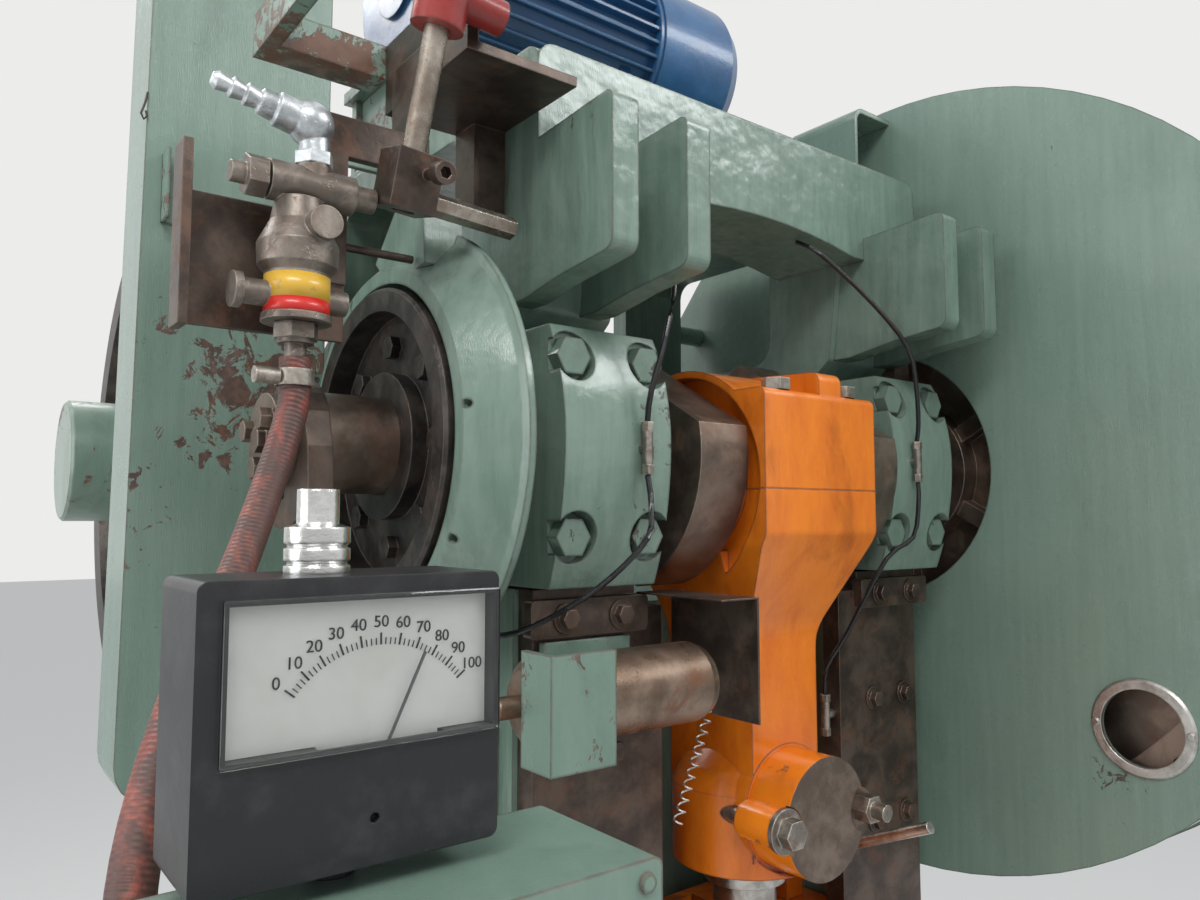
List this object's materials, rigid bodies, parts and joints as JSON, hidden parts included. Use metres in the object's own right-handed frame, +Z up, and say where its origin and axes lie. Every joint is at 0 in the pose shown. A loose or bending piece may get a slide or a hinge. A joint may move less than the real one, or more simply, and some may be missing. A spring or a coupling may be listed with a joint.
{
  "type": "mechanical stamping press",
  "caption": "Geared gap-frame stamping press with an open crank and pitman, slide, flywheel, brake, motor, gear guard and stroke meter.",
  "frame": {"origin": "floor point below the crank axis, midway between the main bearings", "axes": "+X right along the crank axis towards the bull gear, +Y to the back, +Z up"},
  "size_m": [1.35, 1.6548, 2.725],
  "materials": {
    "green_paint": "gloss",
    "orange_paint": "gloss",
    "blue_paint": "gloss",
    "red_paint": "gloss",
    "oiled_steel": "satin",
    "dark_iron": "satin",
    "bright_steel": "satin",
    "galvanised": "satin",
    "bronze": "satin",
    "rubber_black": "matte",
    "nylon_black": "satin",
    "case_black": "satin",
    "dial_white": "matte",
    "hose_red": "matte"
  },
  "bodies": {
    "frame_body": {"frame": "green_paint", "bearing_cap_left": "green_paint", "bearing_cap_right": "green_paint", "cap_bolts": "green_paint", "main_bushes": "bronze", "gib_left": "oiled_steel", "gib_right": "oiled_steel", "gib_bolts": "oiled_steel", "bolster": "bright_steel", "bolster_bolts": "bright_steel", "motor_body": "blue_paint", "motor_shroud": "blue_paint", "motor_base": "green_paint", "belt_guard": "green_paint", "gear_guard": "green_paint", "gear_guard_cover": "green_paint", "port_ring": "bright_steel", "brake_housing": "green_paint", "valve_bracket": "oiled_steel", "valve_body": "dark_iron", "valve_elbow": "galvanised", "clamp_block": "oiled_steel", "clamp_rod": "bright_steel", "cross_bar": "bright_steel", "rod_hub": "red_paint", "guard_arm": "green_paint", "shelf_plate": "oiled_steel", "air_hose": "hose_red", "hose_clamp": "bright_steel", "lube_tees": "bright_steel", "lube_tubes": "nylon_black", "meter_case": "case_black", "meter_dial": "dial_white", "meter_connector": "bright_steel", "junction_box": "green_paint", "box_arm": "green_paint", "air_cylinder": "oiled_steel", "cylinder_bracket": "green_paint", "splash_shield": "oiled_steel", "shield_spring": "bright_steel", "drive_belts": "rubber_black", "backshaft_bearings": "bronze", "stop_rod": "bright_steel"},
    "slide_body": {"slide": "orange_paint"},
    "pitman_body": {"pitman": "orange_paint", "pitman_cap": "orange_paint", "pin_bush": "bronze", "clamp_cap": "oiled_steel", "pitman_bolts": "bright_steel"},
    "screw_body": {"adjusting_screw": "bright_steel"},
    "crank_body": {"crankshaft": "oiled_steel", "bull_gear": "oiled_steel", "brake_drum": "dark_iron", "cam_disc": "oiled_steel", "shaft_end_cap": "oiled_steel"},
    "backshaft_body": {"pinion_shaft": "oiled_steel", "flywheel": "dark_iron", "clutch_cover": "green_paint"},
    "motor_rotor": {"motor_pulley": "dark_iron"},
    "needle_body": {"meter_needle": "nylon_black"}
  },
  "joints": [
    {"name": "crank_turn", "type": "hinge", "parent": "frame_body", "child": "crank_body", "pos_m": [0, 0, 1.85], "axis": [1, 0, 0], "continuous": true},
    {"name": "pitman_swing", "type": "hinge", "parent": "crank_body", "child": "pitman_body", "pos_m": [0, -0.04677, 1.823], "axis": [1, 0, 0], "continuous": true},
    {"name": "screw_turn", "type": "hinge", "parent": "pitman_body", "child": "screw_body", "pos_m": [0, -0.04677, 1.19], "axis": [0, 0, 1], "range_deg": [-180, 180]},
    {"name": "slide_travel", "type": "slide", "parent": "frame_body", "child": "slide_body", "axis": [0, 0, 1], "range_m": [-0.027, 0.081]},
    {"name": "backshaft_turn", "type": "hinge", "parent": "frame_body", "child": "backshaft_body", "pos_m": [0, 0.63992, 1.86], "axis": [1, 0, 0], "continuous": true},
    {"name": "motor_turn", "type": "hinge", "parent": "frame_body", "child": "motor_rotor", "pos_m": [0, 0.33, 2.585], "axis": [1, 0, 0], "continuous": true},
    {"name": "needle_swing", "type": "hinge", "parent": "frame_body", "child": "needle_body", "pos_m": [-0.676, -0.44, 1.654], "axis": [0, 1, 0], "range_deg": [-84, 25], "stiffness_Nm_per_rad": 0.01}
  ],
  "couplings": [
    {"joint": "pitman_swing", "follows": "crank_turn", "ratio": -1},
    {"joint": "backshaft_turn", "follows": "crank_turn", "ratio": -7},
    {"joint": "motor_turn", "follows": "crank_turn", "ratio": -36.867}
  ]
}
